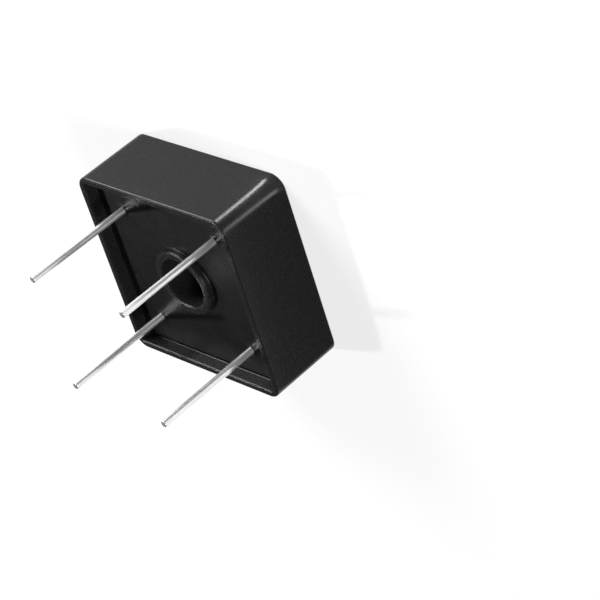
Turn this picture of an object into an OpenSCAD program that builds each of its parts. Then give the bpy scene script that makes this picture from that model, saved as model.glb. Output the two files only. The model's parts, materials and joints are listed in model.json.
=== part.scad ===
// Bridge rectifier: a square moulded case with four wire leads, one screw hole and four dice.
//
// The origin is the centre of the flat base face, on the axis of the screw hole.
// +Z runs up the hole towards the leads, and the walls lie square to X and Y.
// Plus leaves at the +X +Y corner, minus at -X -Y, and the two AC leads at the other corners.
// The dice sit half way along each side, between the leads that they join.

/* [Case] */
// Width and depth of the case
body_w = 28.6; // [28:0.1:31]
// Height of the case from the base face to the rim
body_h = 11.25; // [11:0.05:13]
// Radius of the four upright outer corners
corner_r = 2.1; // [1.5:0.1:2.6]
// Rounding of the case's outer edges, at the base and at the rim
edge_r = 0.25; // [0.15:0.05:0.4]
// Thickness of the side walls
wall_t = 1.05; // [0.9:0.05:1.3]
// Thickness of the floor under the heat spreader
floor_t = 1.2; // [0.8:0.1:1.6]
// Radius of the four upright corners inside the case
inner_corner_r = 0.6; // [0.5:0.1:1]
// Rounding of the rim's inner edge and of the boss's edges
inner_edge_r = 0.2; // [0.1:0.05:0.3]

/* [Screw hole] */
// Diameter of the screw hole
bore_d = 7.6; // [6.4:0.1:8]
// Wall of the boss round the screw hole
boss_wall = 1.15; // [1:0.05:1.3]
// Depth of the boss's top below the rim
boss_drop = 0.9; // [0.7:0.05:1.1]

/* [Potting] */
// Depth of the potting below the rim
recess = 1.85; // [1.6:0.05:2.2]
// Radius of the meniscus that the potting leaves at the walls and the boss
meniscus_r = 0.2; // [0.1:0.05:0.3]

/* [Leads] */
// Diameter of a lead
lead_d = 1; // [0.9:0.05:1.1]
// Distance between two leads along a side
lead_pitch = 17.8; // [17.4:0.1:18.2]
// Height of the leads above the rim
lead_rise = 14.75; // [12:0.25:32]
// Rounding of a lead's cut end
tip_r = 0.1; // [0.05:0.05:0.2]
// Diameter of the nail head at a lead's foot
foot_d = 2.4; // [2:0.1:3]
// Thickness of the nail head
foot_t = 0.5; // [0.3:0.1:0.6]
// Diameter of the root where it meets the nail head, under the resin
root_d = 1.3; // [1.2:0.05:1.6]

/* [Heat spreader] */
// Thickness of the aluminium plate on the floor
spreader_t = 1.5; // [1:0.1:1.7]
// Thickness of the insulating film on the plate
film_t = 0.3; // [0.2:0.05:0.5]
// Gap that the potting fills round the plate and the film
spreader_gap = 0.3; // [0.2:0.05:0.5]

/* [Conductors] */
// Width of the lower plates
plate_w = 6; // [5.6:0.1:6.4]
// Thickness of the lower plates
plate_t = 0.8; // [0.5:0.1:1]
// Width of the upper straps
jumper_w = 4; // [3:0.1:4.4]
// Thickness of the upper straps
jumper_t = 0.6; // [0.4:0.1:0.8]
// Height that a strap steps up from its pads, clear of the dice
jumper_lift = 0.8; // [0.6:0.1:1]
// Rounding of the plates' corners
strap_corner_r = 0.5; // [0.3:0.1:1]

/* [Dice and solder] */
// Width of a square die
die_w = 4.6; // [4:0.1:5]
// Thickness of a die
die_t = 0.3; // [0.2:0.05:0.4]
// Thickness of each layer of solder
solder_t = 0.1; // [0.05:0.05:0.2]
// How far the solder stays back from a die's edge
solder_inset = 0.3; // [0.2:0.05:0.5]

/* [Hidden] */
$fn = 96;

moulding_black = [0.03, 0.03, 0.032];
resin_black = [0.02, 0.02, 0.022];
tin = [0.85, 0.85, 0.84];
aluminium = [0.75, 0.76, 0.78];
film_amber = [0.72, 0.45, 0.12];
copper = [0.78, 0.42, 0.26];
silicon = [0.32, 0.34, 0.38];
solder_grey = [0.62, 0.63, 0.64];

// A small reach past a face, so that a cut leaves nothing behind
past = 0.5;

// The case's inside, and the boss in the middle of it
cavity_w = body_w - 2 * wall_t;
bore_r = bore_d / 2;
boss_r = bore_r + boss_wall;
boss_top = body_h - boss_drop;
potting_top = body_h - recess;

// The stack of layers, from the floor up
spreader_z = floor_t;
film_z = spreader_z + spreader_t;
plate_z = film_z + film_t;
lower_solder_z = plate_z + plate_t;
die_z = lower_solder_z + solder_t;
upper_solder_z = die_z + die_t;
pad_z = upper_solder_z + solder_t;
strap_z = pad_z + jumper_lift;
strap_top = strap_z + jumper_t;

// The leads, and the line that they share with the dice
lead_line = lead_pitch / 2;
lead_tip = body_h + lead_rise;
solder_w = die_w - 2 * solder_inset;
// A pad covers its solder, and its strap steps up outside the die
pad_half = solder_w / 2;
step_run = jumper_lift;
plate_end = die_w / 2 + solder_inset;

// Turn of each corner and of each side about Z, counted from plus at +X +Y
ac_1_turn = 90;
minus_turn = 180;
ac_2_turn = 270;

// Square of width w with its corners rounded to r
module rounded_square(w, r) {
    square([w, w - 2 * r], center = true);
    square([w - 2 * r, w], center = true);
    corners(w / 2 - r) circle(r);
}

// Puts a copy of its children on each corner of a square, at +d and -d
module corners(d) {
    for (x = [-d, d], y = [-d, d])
        translate([x, y])
            children();
}

// Rectangle from the origin to [w, h] with its corners rounded to r
module rounded_rect(w, h, r) {
    translate([r, 0])
        square([w - 2 * r, h]);
    translate([0, r])
        square([w, h - 2 * r]);
    for (x = [r, w - r], y = [r, h - r])
        translate([x, y])
            circle(r);
}

// Bar of section w by h that runs along Y for length l, its four long edges rounded to r
module rounded_bar(w, h, r, l) {
    rotate([90, 0, 0])
        linear_extrude(l, center = true)
            translate([-w / 2, 0])
                rounded_rect(w, h, r);
}

// Disc of radius a and height h, both rims rounded to r
module rounded_disc(a, h, r) {
    rotate_extrude()
        intersection() {
            translate([-a, 0])
                rounded_rect(2 * a, h, r);
            square([a, h]);
        }
}

// Square slab of width w and height h: upright corners of radius rc, outer edges of radius re
module rounded_slab(w, h, rc, re) {
    run = w - 2 * rc;
    rounded_bar(w, h, re, run);
    rotate([0, 0, 90])
        rounded_bar(w, h, re, run);
    corners(w / 2 - rc)
        rounded_disc(rc, h, re);
}

// What is taken from the rim's inner edge to leave it rounded
module rim_flare() {
    outer_w = cavity_w + 2 * inner_edge_r;
    z = body_h - inner_edge_r;
    difference() {
        translate([0, 0, z])
            linear_extrude(inner_edge_r + past)
                rounded_square(outer_w, inner_corner_r + inner_edge_r);
        for (turn = [0:90:270])
            rotate([0, 0, turn])
                translate([outer_w / 2, 0, z])
                    rotate([90, 0, 0])
                        cylinder(r = inner_edge_r, h = cavity_w - 2 * inner_corner_r, center = true);
        corners(cavity_w / 2 - inner_corner_r)
            translate([0, 0, z])
                rotate_extrude()
                    translate([inner_corner_r + inner_edge_r, 0])
                        circle(inner_edge_r);
    }
}

// The moulded case: floor, walls, rim and boss in one piece
module case() {
    color(moulding_black) {
        difference() {
            rounded_slab(body_w, body_h, corner_r, edge_r);
            translate([0, 0, floor_t])
                linear_extrude(body_h)
                    rounded_square(cavity_w, inner_corner_r);
            rim_flare();
            // Clears the hole; the boss then fills in as far as its own rounded mouth
            translate([0, 0, -past])
                cylinder(r = bore_r + boss_wall / 2, h = floor_t + 2 * past);
        }
        rotate_extrude()
            translate([bore_r, 0])
                rounded_rect(boss_wall, boss_top, inner_edge_r);
    }
}

// Section of the boss and of the meniscus that climbs it from the resin's face
module boss_and_meniscus() {
    lip_z = potting_top + meniscus_r;
    square([boss_r, body_h]);
    difference() {
        square([boss_r + meniscus_r, lip_z]);
        translate([boss_r + meniscus_r, lip_z])
            circle(meniscus_r);
    }
}

// The open recess over the resin: its lower edges are rounded where the resin climbs
module recess_space() {
    difference() {
        translate([0, 0, potting_top])
            rounded_slab(cavity_w, recess + past, inner_corner_r, meniscus_r);
        rotate_extrude()
            boss_and_meniscus();
    }
}

// The cast resin: fills the case round everything in it, and climbs the walls and the boss a little
module potting() {
    color(resin_black)
        difference() {
            translate([0, 0, floor_t])
                linear_extrude(potting_top + meniscus_r - floor_t)
                    rounded_square(cavity_w, inner_corner_r);
            recess_space();
            cylinder(r = boss_r, h = body_h);
            potted_pieces();
        }
}

// Everything that the resin is cast round
module potted_pieces() {
    heat_spreader();
    insulator_film();
    plus_plate();
    minus_plate();
    ac_jumper_1();
    ac_jumper_2();
    for (side = [0:3])
        die_stack(side * 90);
    lead_solder(0, lower_solder_z);
    lead_solder(minus_turn, lower_solder_z);
    lead_solder(ac_1_turn, strap_top);
    lead_solder(ac_2_turn, strap_top);
    lead_plus();
    lead_minus();
    lead_ac_1();
    lead_ac_2();
}

// A layer on the floor, as wide as the case's inside less the gap, with a hole clear of the boss
module floor_layer(z, t) {
    translate([0, 0, z])
        linear_extrude(t)
            difference() {
                rounded_square(cavity_w - 2 * spreader_gap, inner_corner_r);
                circle(boss_r + spreader_gap);
            }
}

// Aluminium plate that carries the heat to the base face
module heat_spreader() {
    color(aluminium)
        floor_layer(spreader_z, spreader_t);
}

// Film that keeps the live plates off the heat spreader
module insulator_film() {
    color(film_amber)
        floor_layer(film_z, film_t);
}

// L-shaped copper plate round a corner: from under one die, past the lead, to under the next
module corner_plate(turn) {
    outer = lead_line + plate_w / 2;
    color(copper)
        translate([0, 0, plate_z])
            linear_extrude(plate_t)
                rotate(turn)
                    for (flip = [0, 1])
                        mirror([flip, -flip])
                            plate_arm(outer);
}

// One arm of a corner plate, along +X on the side at +Y, as far out as the corner
module plate_arm(outer) {
    translate([-plate_end, outer - plate_w])
        rounded_rect(outer + plate_end, plate_w, strap_corner_r);
}

// Plate under the two dice that pass current to plus
module plus_plate() {
    corner_plate(0);
}

// Plate under the two dice that pass current from minus
module minus_plate() {
    corner_plate(minus_turn);
}

// One arm of an upper strap: a pad on the die, a step up, and a level run to the corner
module jumper_arm() {
    run_end = lead_line + jumper_w / 2;
    rise = jumper_lift;
    foot = pad_half;
    translate([0, lead_line, pad_z])
        rotate([90, 0, 0])
            linear_extrude(jumper_w, center = true)
                polygon([
                    [-foot, 0],
                    [foot, 0],
                    [foot + step_run, rise],
                    [run_end, rise],
                    [run_end, rise + jumper_t],
                    [foot + step_run - jumper_t / 2, rise + jumper_t],
                    [foot - jumper_t / 2, jumper_t],
                    [-foot, jumper_t]
                ]);
}

// L-shaped copper strap round a corner, on the dice of both its sides
module corner_jumper(turn) {
    color(copper)
        rotate([0, 0, turn])
            for (flip = [0, 1])
                mirror([flip, -flip, 0])
                    jumper_arm();
}

// Strap from the first AC lead to one die on each plate
module ac_jumper_1() {
    corner_jumper(ac_1_turn);
}

// Strap from the second AC lead to the other two dice
module ac_jumper_2() {
    corner_jumper(ac_2_turn);
}

// Square layer of width w and thickness t, half way along a side
module side_layer(turn, w, z, t) {
    rotate([0, 0, turn])
        translate([0, lead_line, z])
            linear_extrude(t)
                square(w, center = true);
}

module die(turn) {
    color(silicon)
        side_layer(turn, die_w, die_z, die_t);
}

module solder_lower(turn) {
    color(solder_grey)
        side_layer(turn, solder_w, lower_solder_z, solder_t);
}

module solder_upper(turn) {
    color(solder_grey)
        side_layer(turn, min(solder_w, jumper_w), upper_solder_z, solder_t);
}

// One die with the solder under and on it
module die_stack(turn) {
    solder_lower(turn);
    die(turn);
    solder_upper(turn);
}

// Moves its children to a lead's place in the corner that turn names
module at_lead(turn) {
    rotate([0, 0, turn])
        translate([lead_line, lead_line, 0])
            children();
}

// Disc of solder between a lead's foot and the copper at height z
module lead_solder(turn, z) {
    color(solder_grey)
        at_lead(turn)
            translate([0, 0, z])
                cylinder(r = foot_d / 2, h = solder_t);
}

// Section of a lead that stands on z: the nail head, a root that tapers as far as the resin's face,
// and the round wire with its rounded end
module lead_section(z) {
    r = lead_d / 2;
    translate([0, z])
        square([foot_d / 2, foot_t]);
    polygon([[0, z], [root_d / 2, z], [root_d / 2, z + foot_t], [r, potting_top], [0, potting_top]]);
    translate([0, potting_top])
        square([r, lead_tip - tip_r - potting_top]);
    translate([0, potting_top])
        square([r - tip_r, lead_tip - potting_top]);
    translate([r - tip_r, lead_tip - tip_r])
        circle(tip_r);
}

// Wire lead in the corner that turn names, whose foot is soldered to the copper at height z
module lead(turn, z) {
    color(tin)
        at_lead(turn)
            rotate_extrude()
                lead_section(z + solder_t);
}

module lead_plus() {
    lead(0, lower_solder_z);
}

module lead_minus() {
    lead(minus_turn, lower_solder_z);
}

module lead_ac_1() {
    lead(ac_1_turn, strap_top);
}

module lead_ac_2() {
    lead(ac_2_turn, strap_top);
}

case();
potting();
lead_plus();
lead_minus();
lead_ac_1();
lead_ac_2();
heat_spreader();
insulator_film();
plus_plate();
minus_plate();
ac_jumper_1();
ac_jumper_2();
die(0);  // die_1
die(90);  // die_2
die(180);  // die_3
die(270);  // die_4
solder_lower(0);  // solder_lower_1
solder_lower(90);  // solder_lower_2
solder_lower(180);  // solder_lower_3
solder_lower(270);  // solder_lower_4
solder_upper(0);  // solder_upper_1
solder_upper(90);  // solder_upper_2
solder_upper(180);  // solder_upper_3
solder_upper(270);  // solder_upper_4
lead_solder(0, lower_solder_z);  // lead_solder_plus
lead_solder(minus_turn, lower_solder_z);  // lead_solder_minus
lead_solder(ac_1_turn, strap_top);  // lead_solder_ac_1
lead_solder(ac_2_turn, strap_top);  // lead_solder_ac_2
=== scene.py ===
"""Looks of a square potted bridge rectifier with four wire leads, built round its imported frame.

The case, the resin and the leads are modelled here with fine, smooth surfaces, and the sealed pieces
inside keep their CAD shapes. Sizes are in metres, in the frame of the CAD model: the base face lies
on the floor, and +Z runs up the screw hole towards the leads.
"""
import json
import logging
import math
from dataclasses import dataclass, field
from enum import Enum
from functools import lru_cache
from typing import Any, Optional, Sequence, Union

import bmesh
import bpy
from mathutils import Matrix, Vector

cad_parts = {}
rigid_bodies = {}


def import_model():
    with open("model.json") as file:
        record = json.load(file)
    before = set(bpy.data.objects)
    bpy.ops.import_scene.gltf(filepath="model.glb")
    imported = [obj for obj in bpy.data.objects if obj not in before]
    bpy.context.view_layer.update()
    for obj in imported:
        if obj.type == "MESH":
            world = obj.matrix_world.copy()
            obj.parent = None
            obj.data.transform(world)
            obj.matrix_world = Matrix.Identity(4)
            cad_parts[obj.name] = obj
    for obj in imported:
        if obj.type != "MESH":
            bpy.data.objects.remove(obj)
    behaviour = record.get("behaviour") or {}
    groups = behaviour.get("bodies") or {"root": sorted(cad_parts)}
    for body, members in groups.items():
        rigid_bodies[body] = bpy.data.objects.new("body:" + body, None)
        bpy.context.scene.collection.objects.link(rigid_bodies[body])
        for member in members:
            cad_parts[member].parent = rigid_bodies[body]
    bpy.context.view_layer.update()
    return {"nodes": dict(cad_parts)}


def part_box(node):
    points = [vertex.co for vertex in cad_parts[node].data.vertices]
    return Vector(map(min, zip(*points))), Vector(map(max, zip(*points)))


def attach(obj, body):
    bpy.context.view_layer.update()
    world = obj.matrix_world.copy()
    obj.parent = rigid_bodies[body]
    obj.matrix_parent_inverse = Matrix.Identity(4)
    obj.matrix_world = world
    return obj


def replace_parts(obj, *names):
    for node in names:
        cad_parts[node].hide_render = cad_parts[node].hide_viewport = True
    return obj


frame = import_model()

log = logging.getLogger("bridge_rectifier")

MM = 0.001
# Points closer than this are one point
TOUCH = 0.0001 * MM
# Edges that turn by more than this, in degrees, stay sharp
SHARP_TURN = 40
BODY = "root"

Colour = tuple[float, float, float]
Value = Union["Sock", float, Sequence[float]]


# ------------------------------------------------------------------ shader maths


class Sock:
    """An output socket that takes part in Python expressions.

    Args:
        shader: The node tree that the socket belongs to.
        socket: The output socket itself.
    """

    def __init__(self, shader: "Shader", socket: bpy.types.NodeSocket) -> None:
        """Keeps the socket with its tree."""
        self.shader = shader
        self.socket = socket

    def _maths(self, operation: str, first: Value, second: Value) -> "Sock":
        """Adds one Math node.

        Args:
            operation: The node's operation.
            first: Its first value.
            second: Its second value.

        Returns:
            The node's result.
        """
        return self.shader.node("ShaderNodeMath", {"operation": operation}, {0: first, 1: second})

    def __add__(self, other: Value) -> "Sock":
        """self + other."""
        return self._maths("ADD", self, other)

    def __radd__(self, other: Value) -> "Sock":
        """other + self."""
        return self._maths("ADD", other, self)

    def __sub__(self, other: Value) -> "Sock":
        """self - other."""
        return self._maths("SUBTRACT", self, other)

    def __rsub__(self, other: Value) -> "Sock":
        """other - self."""
        return self._maths("SUBTRACT", other, self)

    def __mul__(self, other: Value) -> "Sock":
        """self * other."""
        return self._maths("MULTIPLY", self, other)

    def __rmul__(self, other: Value) -> "Sock":
        """other * self."""
        return self._maths("MULTIPLY", other, self)

    def __lt__(self, other: Value) -> "Sock":
        """1 where self is under other, and 0 elsewhere."""
        return self._maths("LESS_THAN", self, other)

    def __abs__(self) -> "Sock":
        """The value without its sign."""
        return self._maths("ABSOLUTE", self, 0.0)

    def highest(self, other: Value) -> "Sock":
        """The higher of self and other."""
        return self._maths("MAXIMUM", self, other)

    def sine(self) -> "Sock":
        """The sine of the value, in radians."""
        return self._maths("SINE", self, 0.0)

    def spread(self, low: float, high: float) -> "Sock":
        """The value's 0 to 1 laid out from low to high."""
        return self * (high - low) + low

    def rise(self, low: float, high: float) -> "Sock":
        """A smooth step.

        Args:
            low: Where it leaves 0.
            high: Where it reaches 1.

        Returns:
            The step.
        """
        return self.shader.node(
            "ShaderNodeMapRange",
            {"interpolation_type": "SMOOTHSTEP"},
            {"Value": self, "From Min": low, "From Max": high},
        )


class Shader:
    """One material or world, built node by node.

    Args:
        tree: The node tree to fill. What it holds is cleared.
    """

    def __init__(self, tree: bpy.types.NodeTree) -> None:
        """Empties the tree."""
        self.tree = tree
        tree.nodes.clear()

    def _add(self, kind: str, settings: dict[str, Any], values: dict[Any, Value]) -> bpy.types.Node:
        """Adds a node, sets it up and feeds its sockets.

        Args:
            kind: The node's type.
            settings: Its properties.
            values: The value or link of each socket, by name or number.

        Returns:
            The node.
        """
        made = self.tree.nodes.new(kind)
        for name, value in settings.items():
            setattr(made, name, value)
        for name, value in values.items():
            socket = made.inputs[name]
            if isinstance(value, Sock):
                self.tree.links.new(value.socket, socket)
            elif socket.type == "RGBA":
                socket.default_value = (*value, 1.0)
            else:
                socket.default_value = value
        return made

    def node(self, kind: str, settings: dict[str, Any], values: dict[Any, Value],
             output: Union[int, str] = 0) -> Sock:
        """Adds a node and picks one of its outputs.

        Args:
            kind: The node's type.
            settings: Its properties.
            values: The value or link of each socket, by name or number.
            output: The name or number of the output.

        Returns:
            That output.
        """
        return Sock(self, self._add(kind, settings, values).outputs[output])

    def show(self, kind: str, surface: Sock) -> None:
        """Ends the tree in its output node.

        Args:
            kind: The output node's type.
            surface: What it shows.
        """
        self._add(kind, {}, {"Surface": surface})

    def axes(self, source: str = "Object") -> tuple[Sock, Sock, Sock]:
        """Splits the coordinates into their axes.

        Args:
            source: Which coordinates: the piece's own, or the direction in a world.

        Returns:
            X, Y and Z.
        """
        where = self.node("ShaderNodeTexCoord", {}, {}, source)
        split = self._add("ShaderNodeSeparateXYZ", {}, {0: where})
        return Sock(self, split.outputs[0]), Sock(self, split.outputs[1]), Sock(self, split.outputs[2])

    def clouds(self, size: float, detail: float = 2.0, stretch: Sequence[float] = (1, 1, 1)) -> Sock:
        """Cloudy noise from 0 to 1 on the piece's own coordinates.

        Args:
            size: The size of one cloud, in metres.
            detail: How many finer layers lie in it.
            stretch: How many times finer it is along each axis.

        Returns:
            The noise.
        """
        where = self.node("ShaderNodeTexCoord", {}, {}, "Object")
        laid = self.node("ShaderNodeMapping", {}, {"Vector": where, "Scale": stretch})
        return self.node("ShaderNodeTexNoise", {}, {"Vector": laid, "Scale": 1 / size, "Detail": detail})

    def mix(self, share: Value, first: Value, second: Value) -> Sock:
        """Mixes two colours: the first at a share of 0, the second at 1."""
        return self.node("ShaderNodeMix", {"data_type": "RGBA"}, {0: share, 6: first, 7: second}, 2)

    def relief(self, height: Sock, depth: float, under: Optional[Sock] = None) -> Sock:
        """Turns a height from 0 to 1 into a bumped normal.

        Args:
            height: The relief.
            depth: Its depth in metres.
            under: A coarser relief that it lies on.

        Returns:
            The normal.
        """
        values: dict[Any, Value] = {"Height": height, "Distance": depth}
        if under is not None:
            values["Normal"] = under
        return self.node("ShaderNodeBump", {}, values)


# ------------------------------------------------------------------ finishes


def new_material(name: str) -> tuple[bpy.types.Material, Shader]:
    """Starts a material.

    Args:
        name: Its name.

    Returns:
        The material and its empty node tree.
    """
    made = bpy.data.materials.new(name)
    made.use_nodes = True
    return made, Shader(made.node_tree)


class Finish:
    """A surface finish, which builds its material when it is first used."""

    name: str

    @lru_cache(maxsize=None)
    def material(self) -> bpy.types.Material:
        """Builds the material on the first call, and keeps it.

        Returns:
            The material.
        """
        made, shader = new_material(self.name)
        surface = shader.node("ShaderNodeBsdfPrincipled", {}, self.sockets(shader))
        shader.show("ShaderNodeOutputMaterial", surface)
        return made

    def sockets(self, shader: Shader) -> dict[Any, Value]:
        """Builds what feeds the Principled shader.

        Args:
            shader: The material's node tree.

        Returns:
            The value or link of each socket, by name.
        """
        raise NotImplementedError


class SignKind(Enum):
    """The generic polarity signs."""

    MINUS = "minus"
    ALTERNATING = "alternating"


@dataclass(frozen=True)
class Sign:
    """A polarity sign painted on the -Y wall, next to its lead.

    Args:
        kind: Which sign it is.
        x: Its middle along the wall.
        z: Its middle above the base face.
        half: Half of its length.
        stroke: Half of its stroke's thickness.
        swing: How far a wave swings to each side.
        swell: How much thicker a wave's stroke is.
    """

    kind: SignKind
    x: float
    z: float = 7.6 * MM
    half: float = 1.5 * MM
    stroke: float = 0.2 * MM
    swing: float = 0.45 * MM
    swell: float = 1.25

    def mask(self, x: Sock, z: Sock) -> Sock:
        """Finds where the paint lies.

        Args:
            x: Place along the wall.
            z: Height.

        Returns:
            1 on the paint, and 0 elsewhere.
        """
        along = x - self.x
        line: Value = self.z
        stroke = self.stroke
        if self.kind is SignKind.ALTERNATING:
            line = (along * (math.pi / self.half)).sine() * self.swing + self.z
            stroke = self.stroke * self.swell
        return (abs(along) < self.half) * (abs(z - line) < stroke)


@dataclass(frozen=True)
class MouldedPlastic(Finish):
    """Black moulding compound with the fine grain of a blasted mould, and painted signs.

    Args:
        name: The material's name.
        dark: Colour in the hollows of the grain.
        pale: Colour on its crests.
        grain: Size of one grain.
        depth: Depth of the grain.
        flow: Size of the marks where the compound flowed.
        flow_depth: Depth of those marks.
        smooth: Roughness of the smoothest flow marks.
        dull: Roughness of the dullest.
        speckle: How far the grain changes the roughness.
        shine: The Principled shader's specular level.
        paint: Colour of the signs.
        signs: The signs.
        wall_y: Plane that the signs lie outside of.
    """

    name: str = "blasted_moulding"
    dark: Colour = (0.0105, 0.0105, 0.0108)
    pale: Colour = (0.0145, 0.0145, 0.0149)
    grain: float = 0.2 * MM
    depth: float = 0.01 * MM
    flow: float = 6 * MM
    flow_depth: float = 0.006 * MM
    smooth: float = 0.25
    dull: float = 0.28
    speckle: float = 0.15
    shine: float = 0.2
    paint: Colour = (0.80, 0.60, 0.27)
    signs: tuple[Sign, ...] = ()
    wall_y: float = -14.2 * MM

    def sockets(self, shader: Shader) -> dict[Any, Value]:
        """Builds what feeds the Principled shader.

        Args:
            shader: The material's node tree.

        Returns:
            The value or link of each socket, by name.
        """
        grain = shader.clouds(self.grain, 3.0)
        flow = shader.clouds(self.flow)
        x, y, z = shader.axes()
        painted: Value = 0.0
        for sign in self.signs:
            painted = sign.mask(x, z) + painted
        if self.signs:
            painted = painted * (y < self.wall_y)
        plastic = shader.mix(grain.rise(0.35, 0.7), self.dark, self.pale)
        worn = flow.rise(0.3, 0.75).spread(self.smooth, self.dull)
        return {
            "Base Color": shader.mix(painted, plastic, self.paint),
            "Roughness": worn + (grain - 0.5) * self.speckle,
            "Normal": shader.relief(grain, self.depth, shader.relief(flow, self.flow_depth)),
            "Specular IOR Level": self.shine,
        }


@dataclass(frozen=True)
class CastResin(Finish):
    """Black casting resin with a faintly wavy, satin face.

    Args:
        name: The material's name.
        dark: Colour where the filler has sunk.
        pale: Colour where it lies at the face.
        filler: Size of a grain of filler.
        filler_depth: How far the filler stands out.
        bloom: Size of the patches that bloomed dull.
        smooth: Roughness between those patches.
        dull: Roughness on them.
        speckle: How far the filler changes the roughness.
        wave: Size of the waves that the resin set in.
        wave_depth: Depth of those waves.
        shine: The Principled shader's specular level.
    """

    name: str = "cast_resin"
    dark: Colour = (0.0015, 0.0015, 0.0016)
    pale: Colour = (0.009, 0.009, 0.0095)
    filler: float = 0.16 * MM
    filler_depth: float = 0.025 * MM
    bloom: float = 3 * MM
    smooth: float = 0.28
    dull: float = 0.3
    speckle: float = 0.1
    wave: float = 5 * MM
    wave_depth: float = 0.015 * MM
    shine: float = 0.22

    def sockets(self, shader: Shader) -> dict[Any, Value]:
        """Builds what feeds the Principled shader.

        Args:
            shader: The material's node tree.

        Returns:
            The value or link of each socket, by name.
        """
        filler = shader.clouds(self.filler, 3.0)
        wave = shader.clouds(self.wave, 1.0)
        bloom = shader.clouds(self.bloom, 3.0)
        worn = bloom.rise(0.3, 0.7).spread(self.smooth, self.dull)
        return {
            "Base Color": shader.mix(filler.rise(0.35, 0.7), self.dark, self.pale),
            "Roughness": worn + (filler - 0.5) * self.speckle,
            "Normal": shader.relief(filler, self.filler_depth, shader.relief(wave, self.wave_depth)),
            "Specular IOR Level": self.shine,
        }


@dataclass(frozen=True)
class DrawnTin(Finish):
    """Tin on drawn copper wire, with fine lines along the wire.

    Args:
        name: The material's name.
        bright: Colour of the bare tin.
        tarnished: Colour where it has dulled.
        line: Width of a drawn line.
        line_depth: Depth of the lines.
        patch: Size of a dulled patch.
        patch_depth: How far the patches sink.
        metallic: How much it is a metal.
        smooth: Roughness of the bright tin.
        dull: Roughness of the dulled tin.
        speckle: How much the lines add to it.
    """

    name: str = "drawn_tin"
    bright: Colour = (0.84, 0.84, 0.835)
    tarnished: Colour = (0.75, 0.75, 0.745)
    line: float = 0.12 * MM
    line_depth: float = 0.0015 * MM
    patch: float = 1.5 * MM
    patch_depth: float = 0.004 * MM
    metallic: float = 0.72
    smooth: float = 0.1
    dull: float = 0.16
    speckle: float = 0.06

    def sockets(self, shader: Shader) -> dict[Any, Value]:
        """Builds what feeds the Principled shader.

        Args:
            shader: The material's node tree.

        Returns:
            The value or link of each socket, by name.
        """
        lines = shader.clouds(self.line, stretch=(1, 1, 0.03))
        dulled = shader.clouds(self.patch, 3.0, (1, 1, 0.5))
        return {
            "Base Color": shader.mix(dulled.rise(0.35, 0.75), self.bright, self.tarnished),
            "Metallic": self.metallic,
            "Roughness": dulled.spread(self.smooth, self.dull) + lines * self.speckle,
            "Normal": shader.relief(lines, self.line_depth, shader.relief(dulled, self.patch_depth)),
        }


@dataclass(frozen=True)
class RolledSheet(Finish):
    """Rolled metal sheet with grain along X and a little tarnish.

    Args:
        name: The material's name.
        bright: Colour of the bare metal.
        tarnished: Colour where it has darkened.
        grain: Width of the grain.
        depth: Depth of the grain.
        stain: Size of a darkened patch.
        smooth: Roughness of the bare metal.
        dull: Roughness of the darkened metal.
        speckle: How much the grain adds to it.
    """

    name: str
    bright: Colour
    tarnished: Colour
    grain: float = 0.15 * MM
    depth: float = 0.003 * MM
    stain: float = 3 * MM
    smooth: float = 0.25
    dull: float = 0.45
    speckle: float = 0.1

    def sockets(self, shader: Shader) -> dict[Any, Value]:
        """Builds what feeds the Principled shader.

        Args:
            shader: The material's node tree.

        Returns:
            The value or link of each socket, by name.
        """
        grain = shader.clouds(self.grain, 3.0, (0.05, 1, 1))
        stain = shader.clouds(self.stain, 4.0)
        return {
            "Base Color": shader.mix(stain.rise(0.4, 0.7), self.bright, self.tarnished),
            "Metallic": 1.0,
            "Roughness": stain.spread(self.smooth, self.dull) + grain * self.speckle,
            "Normal": shader.relief(grain, self.depth),
        }


@dataclass(frozen=True)
class AmberFilm(Finish):
    """Amber insulating film.

    Args:
        name: The material's name.
        thin: Colour where the film looks thin.
        thick: Colour where it looks thick.
        ripple: Size of a ripple.
        depth: Depth of the ripples.
        smooth: Roughness where the film looks thin.
        dull: Roughness where it looks thick.
    """

    name: str = "amber_film"
    thin: Colour = (0.55, 0.25, 0.035)
    thick: Colour = (0.40, 0.15, 0.02)
    ripple: float = 2 * MM
    depth: float = 0.01 * MM
    smooth: float = 0.15
    dull: float = 0.35

    def sockets(self, shader: Shader) -> dict[Any, Value]:
        """Builds what feeds the Principled shader.

        Args:
            shader: The material's node tree.

        Returns:
            The value or link of each socket, by name.
        """
        ripple = shader.clouds(self.ripple)
        return {
            "Base Color": shader.mix(ripple.rise(0.3, 0.7), self.thin, self.thick),
            "Roughness": ripple.spread(self.smooth, self.dull),
            "Normal": shader.relief(ripple, self.depth),
        }


@dataclass(frozen=True)
class MattMetal(Finish):
    """Dull, mottled metal, such as set solder or a metallised wafer.

    Args:
        name: The material's name.
        pale: Colour of the pale mottles.
        deep: Colour of the dark ones.
        mottle: Size of a mottle.
        metallic: How much it is a metal.
        smooth: Lowest roughness.
        dull: Highest roughness.
        depth: Depth of the mottles.
    """

    name: str
    pale: Colour
    deep: Colour
    mottle: float
    metallic: float
    smooth: float
    dull: float
    depth: float = 0.006 * MM

    def sockets(self, shader: Shader) -> dict[Any, Value]:
        """Builds what feeds the Principled shader.

        Args:
            shader: The material's node tree.

        Returns:
            The value or link of each socket, by name.
        """
        mottle = shader.clouds(self.mottle, 4.0)
        return {
            "Base Color": shader.mix(mottle.rise(0.35, 0.65), self.pale, self.deep),
            "Metallic": self.metallic,
            "Roughness": mottle.spread(self.smooth, self.dull),
            "Normal": shader.relief(mottle, self.depth),
        }


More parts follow.
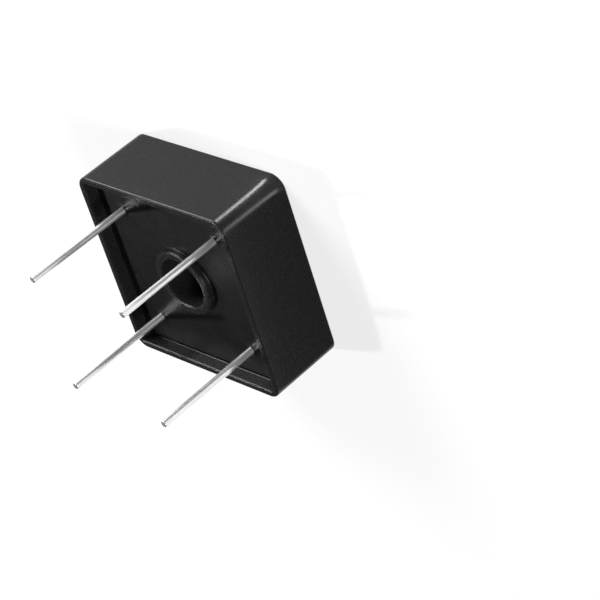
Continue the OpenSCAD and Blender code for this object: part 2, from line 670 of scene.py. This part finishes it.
COPPER = RolledSheet("rolled_copper", (0.80, 0.36, 0.20), (0.52, 0.20, 0.11))
ALUMINIUM = RolledSheet("rolled_aluminium", (0.80, 0.81, 0.82), (0.62, 0.63, 0.65))
SILICON = MattMetal(
    "metallised_silicon", (0.20, 0.22, 0.26), (0.12, 0.13, 0.16),
    mottle=0.8 * MM, metallic=0.6, smooth=0.12, dull=0.25,
)
SOLDER = MattMetal(
    "set_solder", (0.60, 0.60, 0.59), (0.42, 0.42, 0.42),
    mottle=0.4 * MM, metallic=1.0, smooth=0.3, dull=0.5,
)


# ------------------------------------------------------------------ modelling


def roll(radius: float, steps: int = 6, climb: Optional[float] = None) -> list[tuple[float, float]]:
    """Quarter turn of an edge rounding, from the flat to the wall.

    Args:
        radius: How far the rounding reaches over the flat.
        steps: Number of facets.
        climb: How far it reaches along the wall, if not as far.

    Returns:
        For each point, how far it still is from the wall, and how far it has left the flat.
    """
    turns = [math.pi / 2 * step / steps for step in range(steps + 1)]
    reach = radius if climb is None else climb
    return [(radius * (1 - math.sin(turn)), reach * (1 - math.cos(turn))) for turn in turns]


@dataclass(frozen=True)
class Ring:
    """A level ring, round or along a square with rounded corners.

    Args:
        height: Its height.
        radius: Its radius, or its corners' radius.
        width: The square's width, or nothing for a round ring.
        centre: The centre of a round ring.
        points: Its number of points.
    """

    height: float
    radius: float
    width: Optional[float] = None
    centre: tuple[float, float] = (0.0, 0.0)
    points: int = 96

    def draw(self, mesh: bmesh.types.BMesh) -> list[bmesh.types.BMEdge]:
        """Adds the ring to a mesh.

        Args:
            mesh: The mesh.

        Returns:
            The ring's edges.
        """
        place = Matrix.Translation((*self.centre, self.height))
        if self.width is None:
            turned = place @ Matrix.Rotation(math.pi / self.points, 4, "Z")
            made = bmesh.ops.create_circle(
                mesh, cap_ends=False, radius=self.radius, segments=self.points, matrix=turned
            )
            return list({edge for vert in made["verts"] for edge in vert.link_edges})
        known = set(mesh.edges)
        plate = bmesh.ops.create_grid(
            mesh, x_segments=1, y_segments=1, size=self.width / 2, matrix=place
        )
        bmesh.ops.bevel(
            mesh, geom=plate["verts"], affect="VERTICES", offset=self.radius, offset_type="OFFSET",
            segments=self.points // 4 - 1, profile=0.5, material=-1,
        )
        drawn = [edge for edge in mesh.edges if edge not in known]
        faces = {face for edge in drawn for face in edge.link_faces}
        bmesh.ops.delete(mesh, geom=list(faces), context="FACES_ONLY")
        return drawn


def loft(mesh: bmesh.types.BMesh, rings: Sequence[Ring]) -> None:
    """Joins each ring to the next with a band of faces.

    Args:
        mesh: The mesh to add them to.
        rings: The rings, all with the same number of points.
    """
    for first, second in zip(rings, rings[1:]):
        bmesh.ops.bridge_loops(mesh, edges=first.draw(mesh) + second.draw(mesh))


def weld(mesh: bmesh.types.BMesh) -> None:
    """Merges the points that lie on each other."""
    bmesh.ops.remove_doubles(mesh, verts=mesh.verts, dist=TOUCH)


def to_mesh(name: str, shape: bmesh.types.BMesh,
            material: Optional[bpy.types.Material] = None) -> bpy.types.Mesh:
    """Turns a finished shape into a mesh.

    Args:
        name: The mesh's name.
        shape: The shape, which is freed.
        material: Its material.

    Returns:
        The mesh.
    """
    mesh = bpy.data.meshes.new(name)
    shape.to_mesh(mesh)
    shape.free()
    if material is not None:
        mesh.materials.append(material)
    return mesh


def add_object(name: str, data: bpy.types.ID) -> bpy.types.Object:
    """Adds an object to the scene.

    Args:
        name: Its name.
        data: Its mesh, lamp or camera.

    Returns:
        The object.
    """
    made = bpy.data.objects.new(name, data)
    bpy.context.scene.collection.objects.link(made)
    return made


def finish_piece(name: str, shape: bmesh.types.BMesh, finish: Finish) -> bpy.types.Object:
    """Turns a finished shape into a piece that rides on the part.

    Args:
        name: The piece's name.
        shape: Its shape, which is freed.
        finish: Its finish.

    Returns:
        The piece.
    """
    bmesh.ops.recalc_face_normals(shape, faces=shape.faces)
    piece = add_object(name, to_mesh(name, shape, finish.material()))
    shade(piece)
    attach(piece, BODY)
    return piece


def shade(piece: bpy.types.Object) -> None:
    """Shades a piece smoothly over its roundings, and keeps its flats flat.

    Args:
        piece: The piece.
    """
    mesh = piece.data
    mesh.polygons.foreach_set("use_smooth", [True] * len(mesh.polygons))
    mesh.set_sharp_from_angle(angle=math.radians(SHARP_TURN))
    weighted = piece.modifiers.new("Flats", "WEIGHTED_NORMAL")
    weighted.weight = 100
    weighted.keep_sharp = True


@dataclass
class MouldedCase:
    """The moulded cup: walls, rim, floor and the boss round the screw hole.

    Args:
        width: Width and depth over the walls.
        height: Height from the base face to the rim.
        corner: Radius of the upright outer corners.
        edge: Rounding of the outer edges.
        wall: Thickness of the walls.
        floor: Thickness of the floor.
        inner_corner: Radius of the upright inner corners.
        lip: Rounding of the rim's inner edge and of the boss.
        bore: Radius of the screw hole.
        boss: Outer radius of the boss.
        boss_drop: Depth of the boss's top below the rim.
    """

    width: float = 28.6 * MM
    height: float = 11.25 * MM
    corner: float = 2.1 * MM
    edge: float = 0.25 * MM
    wall: float = 1.05 * MM
    floor: float = 1.2 * MM
    inner_corner: float = 0.6 * MM
    lip: float = 0.2 * MM
    bore: float = 3.8 * MM
    boss: float = 4.95 * MM
    boss_drop: float = 0.9 * MM

    @property
    def cavity(self) -> float:
        """Width between the inner walls."""
        return self.width - 2 * self.wall

    def _outside(self) -> list[Ring]:
        """Lays out the walls' outside.

        Returns:
            Rings from the base face's edge up to the rim's outer edge.
        """
        rounding = roll(self.edge)
        up = [(back, rise) for back, rise in rounding]
        down = [(back, self.height - rise) for back, rise in reversed(rounding)]
        return [Ring(z, self.corner - back, self.width - 2 * back) for back, z in up + down]

    def _inside(self) -> list[Ring]:
        """Lays out the walls' inside.

        Returns:
            Rings from the rim's inner edge down to the floor.
        """
        rings = [
            Ring(self.height - fall, self.inner_corner + back, self.cavity + 2 * back)
            for back, fall in roll(self.lip)
        ]
        return rings + [Ring(self.floor, self.inner_corner, self.cavity)]

    def _boss(self) -> list[Ring]:
        """Lays out the boss and the screw hole.

        Returns:
            Rings up the boss, over its top and down the hole to the base face.
        """
        top = self.height - self.boss_drop
        rounding = roll(self.lip)
        rings = [Ring(self.floor, self.boss)]
        rings += [Ring(top - fall, self.boss - back) for back, fall in reversed(rounding)]
        rings += [Ring(top - fall, self.bore + back) for back, fall in rounding]
        rings += [Ring(rise, self.bore + back) for back, rise in reversed(rounding)]
        return rings

    def build(self, finish: Finish) -> bpy.types.Object:
        """Builds and dresses the case.

        Args:
            finish: The finish of the moulding.

        Returns:
            The case.
        """
        shape = bmesh.new()
        rings = self._outside() + self._inside() + self._boss()
        loft(shape, rings + rings[:1])
        weld(shape)
        piece = finish_piece("moulded_case", shape, finish)
        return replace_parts(piece, "case")


@dataclass
class WireLead:
    """A straight tinned wire with a nail head at its foot, sealed in the resin.

    Args:
        node: The CAD node that it stands for.
        resin_top: Height of the resin's face.
        wire: Radius of the wire.
        root: Radius of the root where it meets the nail head.
        foot_height: Thickness of the nail head.
        tip_edge: Rounding of the cut end.
        tip_steps: Number of facets of that rounding.
        facets: Number of facets round the wire.
    """

    node: str
    resin_top: float
    wire: float = 0.5 * MM
    root: float = 0.65 * MM
    foot_height: float = 0.5 * MM
    tip_edge: float = 0.1 * MM
    tip_steps: int = 5
    facets: int = 48

    @property
    def centre(self) -> tuple[float, float]:
        """Place of the wire's axis."""
        low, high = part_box(self.node)
        return (low.x + high.x) / 2, (low.y + high.y) / 2

    def _outline(self) -> list[tuple[float, float]]:
        """Lays out the lead's half section.

        Returns:
            Radius and height of each of its corners.
        """
        low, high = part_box(self.node)
        foot = (high.x - low.x) / 2
        head_top = low.z + self.foot_height
        return [
            (0, low.z),
            (foot, low.z),
            (foot, head_top),
            (self.root, head_top),
            (self.wire, self.resin_top),
            (self.wire, high.z),
            (0, high.z),
        ]

    def build(self, finish: Finish) -> bpy.types.Object:
        """Builds and dresses the lead.

        Args:
            finish: The finish of the wire.

        Returns:
            The lead.
        """
        x, y = self.centre
        shape = bmesh.new()
        points = [shape.verts.new((x + radius, y, z)) for radius, z in self._outline()]
        lines = [shape.edges.new(pair) for pair in zip(points, points[1:])]
        bmesh.ops.spin(
            shape, geom=points + lines, cent=(x, y, 0), axis=(0, 0, 1), angle=2 * math.pi,
            steps=self.facets, use_merge=True, use_duplicate=False,
        )
        weld(shape)
        tip = max(vert.co.z for vert in shape.verts)
        cut = [edge for edge in shape.edges if self._on_cut(edge, tip)]
        bmesh.ops.bevel(
            shape, geom=cut, affect="EDGES", offset=self.tip_edge, segments=self.tip_steps,
            profile=0.5, material=-1,
        )
        piece = finish_piece(f"wire_{self.node}", shape, finish)
        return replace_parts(piece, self.node)

    def _on_cut(self, edge: bmesh.types.BMEdge, tip: float) -> bool:
        """Tells the edges round the cut end from the rest.

        Args:
            edge: The edge.
            tip: Height of the cut end.

        Returns:
            Whether the edge runs round the cut end.
        """
        x, y = self.centre
        return all(
            tip - vert.co.z < 10 * TOUCH and math.hypot(vert.co.x - x, vert.co.y - y) > self.wire / 2
            for vert in edge.verts
        )


@dataclass
class CastPotting:
    """The resin that fills the case, and climbs the walls, the boss and the leads a little.

    Args:
        case: The case that it fills.
        recess: Depth of its face below the rim.
        meniscus: Radius of the meniscus at the walls and the boss.
        lead_reach: How far the meniscus at a lead reaches over the face.
        lead_climb: How far it climbs the lead.
        lead_steps: Number of facets up that meniscus.
        tuck: Share of a lead's radius at which the meniscus closes, inside the lead.
    """

    case: MouldedCase
    recess: float = 1.85 * MM
    meniscus: float = 0.2 * MM
    lead_reach: float = 0.9 * MM
    lead_climb: float = 0.12 * MM
    lead_steps: int = 8
    tuck: float = 0.9

    @property
    def top(self) -> float:
        """Height of the resin's face."""
        return self.case.height - self.recess

    def build(self, leads: Sequence[WireLead], sealed: Sequence[bpy.types.Object],
              finish: Finish) -> bpy.types.Object:
        """Builds and dresses the resin.

        Args:
            leads: The leads that come out of its face.
            sealed: The pieces that it is cast round.
            finish: The finish of the resin.

        Returns:
            The resin.
        """
        shape = bmesh.new()
        case = self.case
        rounding = roll(self.meniscus)
        rings = [
            Ring(self.top + rise, case.inner_corner, case.cavity - 2 * back) for back, rise in rounding
        ]
        rings += [Ring(case.floor, case.inner_corner, case.cavity), Ring(case.floor, case.boss)]
        rings += [Ring(self.top + rise, case.boss + back) for back, rise in reversed(rounding)]
        loft(shape, rings)
        for lead in leads:
            self._climb(shape, lead)
        weld(shape)
        face = [edge for edge in shape.edges if edge.is_boundary]
        bmesh.ops.triangle_fill(shape, use_beauty=True, use_dissolve=False, edges=face)
        piece = finish_piece("cast_potting", shape, finish)
        self._carve(piece, sealed)
        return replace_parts(piece, "potting")

    def _climb(self, shape: bmesh.types.BMesh, lead: WireLead) -> None:
        """Adds the resin that climbs one lead, closed inside the lead.

        Args:
            shape: The resin's mesh.
            lead: The lead.
        """
        inner = lead.wire * self.tuck
        rings = [
            Ring(self.top + rise, inner + back, centre=lead.centre, points=lead.facets)
            for back, rise in roll(self.lead_reach, self.lead_steps, self.lead_climb)
        ]
        loft(shape, rings)
        bmesh.ops.edgeloop_fill(shape, edges=rings[-1].draw(shape))

    def _carve(self, piece: bpy.types.Object, sealed: Sequence[bpy.types.Object]) -> None:
        """Leaves room in the resin for what is sealed in it.

        Args:
            piece: The resin.
            sealed: The pieces in it.
        """
        cores = self._cores(sealed)
        piece.modifiers.clear()
        cut = piece.modifiers.new("Room for the sealed pieces", "BOOLEAN")
        cut.operation = "DIFFERENCE"
        cut.solver = "MANIFOLD"
        cut.operand_type = "COLLECTION"
        cut.collection = cores
        graph = bpy.context.evaluated_depsgraph_get()
        carved = bpy.data.meshes.new_from_object(piece.evaluated_get(graph))
        piece.modifiers.clear()
        shape = bmesh.new()
        shape.from_mesh(carved)
        weld(shape)
        bmesh.ops.dissolve_degenerate(shape, dist=TOUCH, edges=shape.edges)
        bmesh.ops.triangulate(shape, faces=shape.faces)
        piece.data = to_mesh(piece.name, shape, piece.data.materials[0])
        for core in list(cores.objects):
            bpy.data.objects.remove(core)
        bpy.data.collections.remove(cores)
        shade(piece)

    def _cores(self, sealed: Sequence[bpy.types.Object]) -> bpy.types.Collection:
        """Copies the sealed pieces with closed surfaces.

        Args:
            sealed: The pieces.

        Returns:
            The copies, in a collection that isn't in the scene.
        """
        cores = bpy.data.collections.new("Sealed")
        for part in sealed:
            shape = bmesh.new()
            shape.from_mesh(part.data)
            weld(shape)
            cores.objects.link(bpy.data.objects.new("Core", to_mesh("Core", shape)))
        return cores


@dataclass
class SealedBridge:
    """The plates, straps, dice and solder inside, which keep their CAD shapes."""

    def finishes(self) -> dict[str, Finish]:
        """Chooses the finishes.

        Returns:
            The finish of each CAD node, by its name.
        """
        chosen: dict[str, Finish] = {"heat_spreader": ALUMINIUM, "insulator_film": AmberFilm()}
        for name in ("plus_plate", "minus_plate", "ac_jumper_1", "ac_jumper_2"):
            chosen[name] = COPPER
        for number in range(1, 5):
            chosen[f"die_{number}"] = SILICON
            chosen[f"solder_lower_{number}"] = SOLDER
            chosen[f"solder_upper_{number}"] = SOLDER
        for lead in ("plus", "minus", "ac_1", "ac_2"):
            chosen[f"lead_solder_{lead}"] = SOLDER
        return chosen

    def dress(self) -> list[bpy.types.Object]:
        """Gives each sealed piece its finish.

        Returns:
            The pieces.
        """
        pieces = []
        for name, finish in self.finishes().items():
            piece = frame["nodes"][name]
            piece.data.materials.clear()
            piece.data.materials.append(finish.material())
            pieces.append(piece)
        return pieces


# ------------------------------------------------------------------ studio


def towards(azimuth: float, elevation: float) -> Vector:
    """Turns two angles into a direction.

    Args:
        azimuth: Angle from +X towards +Y, in degrees.
        elevation: Angle above the floor, in degrees.

    Returns:
        A unit vector.
    """
    around, above = math.radians(azimuth), math.radians(elevation)
    level = math.cos(above)
    return Vector((math.cos(around) * level, math.sin(around) * level, math.sin(above)))


@dataclass
class SoftBox:
    """A square soft box that shines on the part.

    Args:
        name: Its name.
        azimuth: Its direction from the part, in degrees from +X towards +Y.
        elevation: Its height above the floor, in degrees.
        level: How bright a white card that faces it looks.
        size: Its width and height.
        distance: How far away it is.
        aim: Height on the part's axis that it shines at.
    """

    name: str
    azimuth: float
    elevation: float
    level: float
    size: float
    distance: float = 0.6
    aim: float = 5 * MM

    def hang(self) -> bpy.types.Object:
        """Adds the lamp to the scene.

        Returns:
            The lamp.
        """
        direction = towards(self.azimuth, self.elevation)
        data = bpy.data.lights.new(self.name, "AREA")
        data.shape = "SQUARE"
        data.size = self.size
        data.energy = self.level * (math.pi * self.distance) ** 2
        lamp = add_object(self.name, data)
        lamp.location = Vector((0, 0, self.aim)) + direction * self.distance
        lamp.rotation_mode = "QUATERNION"
        lamp.rotation_quaternion = direction.to_track_quat("Z", "Y")
        return lamp


@dataclass
class Card:
    """A card on the floor beside the part, which only its gloss mirrors.

    Args:
        name: Its name.
        level: How bright it is.
        lift: Its height over the floor.
    """

    name: str
    level: float
    lift: float = field(default=0.1 * MM, kw_only=True)

    def cut(self, shape: bmesh.types.BMesh) -> None:
        """Cuts the card to its shape.

        Args:
            shape: The mesh to add it to.
        """
        raise NotImplementedError

    def lay(self) -> bpy.types.Object:
        """Lays the card.

        Returns:
            The card.
        """
        shape = bmesh.new()
        self.cut(shape)
        material, shader = new_material(self.name)
        light = shader.node("ShaderNodeEmission", {}, {"Strength": self.level})
        shader.show("ShaderNodeOutputMaterial", light)
        card = add_object(self.name, to_mesh(self.name, shape, material))
        card.visible_camera = False
        card.visible_diffuse = False
        card.visible_transmission = False
        card.visible_shadow = False
        return card


@dataclass
class Sheet(Card):
    """A card with four square corners.

    Args:
        low: Its corner with the lowest X and Y.
        high: Its corner with the highest.
    """

    low: tuple[float, float]
    high: tuple[float, float]

    def cut(self, shape: bmesh.types.BMesh) -> None:
        """Cuts the sheet.

        Args:
            shape: The mesh to add it to.
        """
        middle = [(low + high) / 2 for low, high in zip(self.low, self.high)]
        halves = [(high - low) / 2 for low, high in zip(self.low, self.high)]
        place = Matrix.Translation((*middle, self.lift)) @ Matrix.Diagonal((*halves, 1, 1))
        bmesh.ops.create_grid(shape, x_segments=1, y_segments=1, size=1, matrix=place)


@dataclass
class Sector(Card):
    """A card cut as part of a ring round an upright axis of the part.

    Args:
        first: Azimuth of its first side, in degrees.
        last: Azimuth of its last side.
        near: Its inner radius.
        far: Its outer radius.
        middle: The axis.
        steps: Number of facets.
    """

    first: float
    last: float
    near: float
    far: float
    middle: tuple[float, float]
    steps: int = 12

    def cut(self, shape: bmesh.types.BMesh) -> None:
        """Cuts the sector.

        Args:
            shape: The mesh to add it to.
        """
        x, y = self.middle
        start = math.radians(self.first)
        ends = [
            shape.verts.new((x + reach * math.cos(start), y + reach * math.sin(start), self.lift))
            for reach in (self.near, self.far)
        ]
        side = shape.edges.new(ends)
        bmesh.ops.spin(
            shape, geom=ends + [side], cent=(x, y, 0), axis=(0, 0, 1),
            angle=math.radians(self.last) - start, steps=self.steps,
            use_merge=False, use_duplicate=False,
        )


@dataclass
class Studio:
    """A plain white floor under soft light.

    Args:
        reach: Half width of the floor.
        paper: Colour of the floor.
        fibre: Size of the paper's faint cloudiness.
        cloudy: How bright its darker clouds are.
        glow: Share of plain white in what the eye, metal and glass see of the floor.
        glow_level: Level of that white.
        room: Level of the dim room.
        sweep: Level low down, where the paper rises behind the part.
        ceiling: Level straight overhead.
    """

    reach: float = 3.0
    paper: Colour = (0.86, 0.86, 0.86)
    fibre: float = 0.4
    cloudy: float = 0.985
    glow: float = 0.6
    glow_level: float = 1.12
    room: float = 0.04
    sweep: float = 0.8
    ceiling: float = 0.03

    def lay_floor(self) -> bpy.types.Object:
        """Lays the floor, which keeps the part's shadow.

        Returns:
            The floor.
        """
        shape = bmesh.new()
        bmesh.ops.create_grid(shape, x_segments=1, y_segments=1, size=self.reach)
        material, shader = new_material("paper")
        kinds = ("Is Camera Ray", "Is Glossy Ray", "Is Transmission Ray")
        camera, glossy, through = [shader.node("ShaderNodeLightPath", {}, {}, kind) for kind in kinds]
        seen = camera.highest(glossy).highest(through)
        fibre = shader.clouds(self.fibre)
        tint = shader.mix(fibre, self.paper, tuple(self.cloudy * level for level in self.paper))
        lit = shader.node("ShaderNodeBsdfDiffuse", {}, {"Color": tint})
        white = shader.node("ShaderNodeEmission", {}, {"Strength": self.glow_level})
        mixed = shader.node("ShaderNodeMixShader", {}, {0: seen * self.glow, 1: lit, 2: white})
        shader.show("ShaderNodeOutputMaterial", mixed)
        floor = add_object("floor", to_mesh("floor", shape, material))
        return floor

    def light_room(self) -> None:
        """Sets the dim room, the white sweep low down and the soft ceiling."""
        world = bpy.data.worlds.new("room")
        world.use_nodes = True
        shader = Shader(world.node_tree)
        _, _, height = shader.axes("Generated")
        low = (1 - height.rise(0.14, 0.24)) * (self.sweep - self.room)
        high = height.rise(0.55, 0.95) * (self.ceiling - self.room)
        light = shader.node("ShaderNodeBackground", {}, {"Strength": low + high + self.room})
        shader.show("ShaderNodeOutputWorld", light)
        bpy.context.scene.world = world

    def lay_cards(self, case: bpy.types.Object) -> None:
        """Lays the cards that dim and streak the part's mirror image.

        Args:
            case: The case, which alone mirrors the streaks.
        """
        Sheet("dark_card", 0.1, low=(14.4 * MM, -32 * MM), high=(32 * MM, 12 * MM)).lay()
        Sheet("grey_card", 0.65, low=(-34 * MM, 14.4 * MM), high=(12 * MM, 29 * MM)).lay()
        lead_line = 8.9 * MM
        for name, x, first in (("left_line", -lead_line, 60), ("right_line", lead_line, 30)):
            Sector(
                name, 0.0, first=first, last=86, near=20 * MM, far=50 * MM,
                middle=(x, lead_line), lift=0.2 * MM,
            ).lay()
        corner_axis = (12.2 * MM, 12.2 * MM)
        shown = bpy.data.collections.new("Streaked")
        shown.objects.link(case)
        for name, level, first in (("right_streak", 8.0, 2), ("left_streak", 26.0, 90)):
            card = Sector(
                name, level, first=first, last=first + 18, near=4 * MM, far=24 * MM,
                middle=corner_axis, lift=0.3 * MM,
            ).lay()
            card.light_linking.receiver_collection = shown

    def hang_lamps(self) -> None:
        """Hangs the key light and the two low soft boxes at the sides."""
        SoftBox("key", azimuth=197.6, elevation=49.6, level=0.45, size=0.03).hang()
        SoftBox("left", azimuth=128, elevation=12, level=1.9, size=0.35).hang()
        SoftBox("right", azimuth=0, elevation=31, level=0.75, size=0.2).hang()


@dataclass
class Viewpoint:
    """The camera.

    Args:
        aim: Point that the middle of the picture shows.
        azimuth: Direction of the camera from the part, in degrees from +X towards +Y.
        elevation: Its height above the floor, in degrees.
        roll: How far the picture is turned, in degrees.
        distance: Its distance from the aim.
        lens: Its focal length, in millimetres.
        sensor: Width of its sensor, in millimetres.
    """

    aim: Sequence[float] = (17.399 * MM, -0.601 * MM, 5.6 * MM)
    azimuth: float = 39.767
    elevation: float = 29.140
    roll: float = 130.086
    distance: float = 294.29 * MM
    lens: float = 138.418
    sensor: float = 36.0

    def place(self) -> bpy.types.Object:
        """Adds the camera and makes it the scene's own.

        Returns:
            The camera.
        """
        turn = math.radians(self.roll)
        back = towards(self.azimuth, self.elevation)
        side = Vector((0, 0, 1)).cross(back).normalized()
        up = back.cross(side) * math.cos(turn) + side * math.sin(turn)
        data = bpy.data.cameras.new("camera")
        data.lens = self.lens
        data.sensor_width = self.sensor
        data.clip_start = 10 * MM
        camera = add_object("camera", data)
        axes = Matrix((up.cross(back), up, back)).transposed().to_4x4()
        camera.matrix_world = Matrix.Translation(Vector(self.aim) + back * self.distance) @ axes
        bpy.context.scene.camera = camera
        return camera


# ------------------------------------------------------------------ assembly


def report(piece: bpy.types.Object) -> None:
    """Logs a piece and its number of faces."""
    log.info("%s: %d faces", piece.name, len(piece.data.polygons))


def main() -> None:
    """Builds the part and the studio in order."""
    logging.basicConfig(level=logging.INFO, format="%(name)s: %(message)s")
    bpy.context.scene.view_settings.view_transform = "Standard"
    Viewpoint().place()
    studio = Studio()
    studio.lay_floor()
    studio.light_room()
    studio.hang_lamps()

    signs = (Sign(SignKind.MINUS, -10 * MM), Sign(SignKind.ALTERNATING, 10 * MM))
    case = MouldedCase()
    moulding = case.build(MouldedPlastic(signs=signs))
    report(moulding)
    studio.lay_cards(moulding)

    potting = CastPotting(case)
    nodes = ("lead_plus", "lead_minus", "lead_ac_1", "lead_ac_2")
    leads = [WireLead(node, potting.top) for node in nodes]
    wires = [lead.build(DrawnTin()) for lead in leads]
    sealed = SealedBridge().dress()
    resin = potting.build(leads, sealed + wires, CastResin())
    for piece in wires + [resin] + sealed:
        report(piece)


if __name__ == "__main__":
    main()
